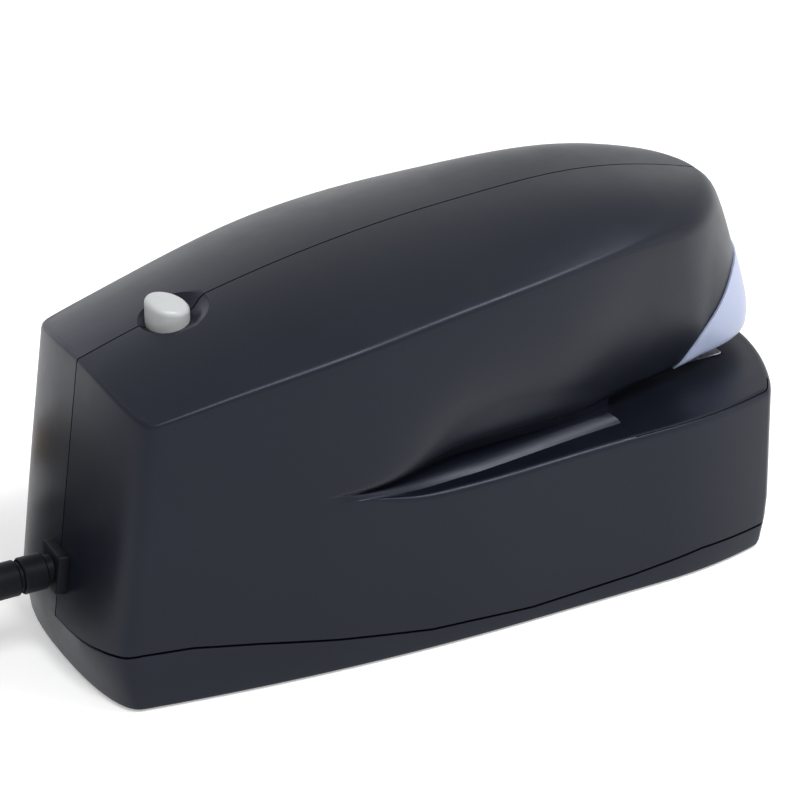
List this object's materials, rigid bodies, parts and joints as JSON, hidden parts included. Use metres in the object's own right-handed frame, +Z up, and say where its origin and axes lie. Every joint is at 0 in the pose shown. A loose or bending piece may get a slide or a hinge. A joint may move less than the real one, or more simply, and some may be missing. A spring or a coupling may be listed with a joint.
{
  "type": "electric stapler",
  "caption": "Mains-corded electric desk stapler with a paper slot at the front, a silver slide-out staple magazine nose, and a round release button on top.",
  "frame": {"origin": "under the middle of the housing, on the surface that the feet stand on", "axes": "+X towards the nose, +Z up, +Y to the side away from the near cover"},
  "size_m": [0.2955, 0.1346, 0.0998],
  "materials": {
    "housing": "finely textured, satin",
    "nose": "smooth silver",
    "button": "satin",
    "bright_steel": "ground",
    "sheet_steel": "zinc plated",
    "fasteners": "zinc plated",
    "springs": "drawn wire",
    "cord_skin": "soft, slightly glossy",
    "plug": "moulded",
    "plug_metal": "plain",
    "foot_rubber": "plain",
    "inner_plastic": "moulded",
    "winding": "enamelled wire",
    "board": "lacquered",
    "terminal": "moulded"
  },
  "bodies": {
    "housing": {"main_housing": "housing", "near_cover": "housing", "anvil_plate": "bright_steel", "strain_relief": "cord_skin", "cord": "cord_skin", "cord_coil": "cord_skin", "cord_tie": "plug", "plug_body": "plug", "plug_pins": "plug_metal", "feet": "foot_rubber", "housing_screws": "fasteners", "chassis_plates": "sheet_steel", "chassis_spacers": "fasteners", "chassis_screws": "fasteners", "arm_pivot_pin": "bright_steel", "driver_guide": "inner_plastic", "solenoid_frame": "sheet_steel", "solenoid_coil": "winding", "coil_bobbin": "inner_plastic", "arm_spring": "springs", "lever_stud": "bright_steel", "latch_bracket": "sheet_steel", "button_spring": "springs", "trigger_pin": "bright_steel", "microswitch": "inner_plastic", "circuit_board": "board", "board_parts": "inner_plastic", "terminal_block": "terminal", "cord_clamp": "inner_plastic", "cord_tail": "cord_skin"},
    "drive_arm": {"drive_arm": "sheet_steel"},
    "hammer": {"hammer": "sheet_steel", "driver_blade": "bright_steel"},
    "plunger": {"plunger": "sheet_steel"},
    "magazine": {"nose_cap": "nose", "magazine_channel": "sheet_steel", "staple_rail": "sheet_steel", "staple_strip": "bright_steel", "pusher_rod": "bright_steel", "pusher_spring": "springs"},
    "pusher": {"pusher": "inner_plastic"},
    "button": {"release_button": "button"},
    "release_lever": {"release_lever": "sheet_steel"},
    "trigger": {"trigger_lever": "inner_plastic"}
  },
  "joints": [
    {"name": "arm_drive", "type": "hinge", "parent": "housing", "child": "drive_arm", "pos_m": [-0.0125, 0, 0.0746], "axis": [0, -1, 0], "range_deg": [-8.1, 0], "deforming": ["arm_spring"]},
    {"name": "hammer_slide", "type": "slide", "parent": "housing", "child": "hammer", "axis": [0, 0, 1], "range_m": [-0.0127, 0]},
    {"name": "plunger_slide", "type": "slide", "parent": "housing", "child": "plunger", "axis": [0, 0, 1], "range_m": [0, 0.0056]},
    {"name": "magazine_slide", "type": "slide", "parent": "housing", "child": "magazine", "axis": [1, 0, 0], "range_m": [0, 0.09]},
    {"name": "pusher_slide", "type": "slide", "parent": "magazine", "child": "pusher", "axis": [-1, 0, 0], "range_m": [0, 0.03], "stiffness_N_per_m": 30, "springref_m": -0.02, "deforming": ["pusher_spring"]},
    {"name": "button_press", "type": "slide", "parent": "housing", "child": "button", "axis": [0, 0, -1], "range_m": [0, 0.003], "stiffness_N_per_m": 600, "springref_m": -0.001, "deforming": ["button_spring"]},
    {"name": "lever_turn", "type": "hinge", "parent": "housing", "child": "release_lever", "pos_m": [-0.044, 0, 0.075], "axis": [0, -1, 0], "range_deg": [0, 8.6]},
    {"name": "trigger_swing", "type": "hinge", "parent": "housing", "child": "trigger", "pos_m": [0.046, 0, 0.034], "axis": [0, -1, 0], "range_deg": [0, 12], "stiffness_Nm_per_rad": 0.02, "springref_deg": -11.46}
  ],
  "couplings": [
    {"joint": "hammer_slide", "follows": "arm_drive", "m_per_rad": 0.08874},
    {"joint": "plunger_slide", "follows": "arm_drive", "m_per_rad": -0.0388},
    {"joint": "lever_turn", "follows": "button_press", "rad_per_m": 49.4}
  ]
}
